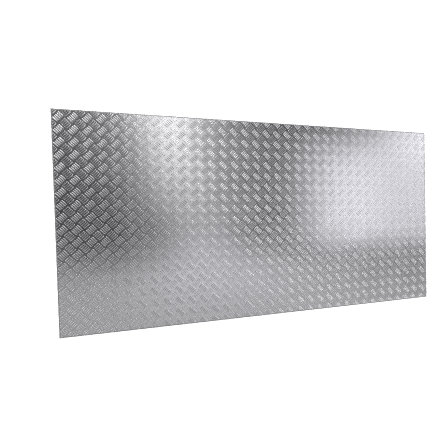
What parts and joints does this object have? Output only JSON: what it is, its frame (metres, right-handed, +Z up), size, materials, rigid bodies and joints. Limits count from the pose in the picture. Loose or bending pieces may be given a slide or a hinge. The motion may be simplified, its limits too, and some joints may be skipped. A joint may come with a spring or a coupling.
{
  "type": "aluminum tread plate",
  "caption": "Flat rectangular sheet of aluminium with sheared edges, its upper face a non-slip tread of short raised bars in diagonal groups that alternate direction.",
  "frame": {"origin": "centre of the flat underside", "axes": "+X along the sheet's length, +Y across its width, +Z up through its thickness, out of the tread side"},
  "size_m": [2, 1, 0.0025],
  "materials": {
    "plate": "mill finish, rolled"
  },
  "bodies": {
    "root": {"tread_plate": "plate"}
  },
  "joints": []
}
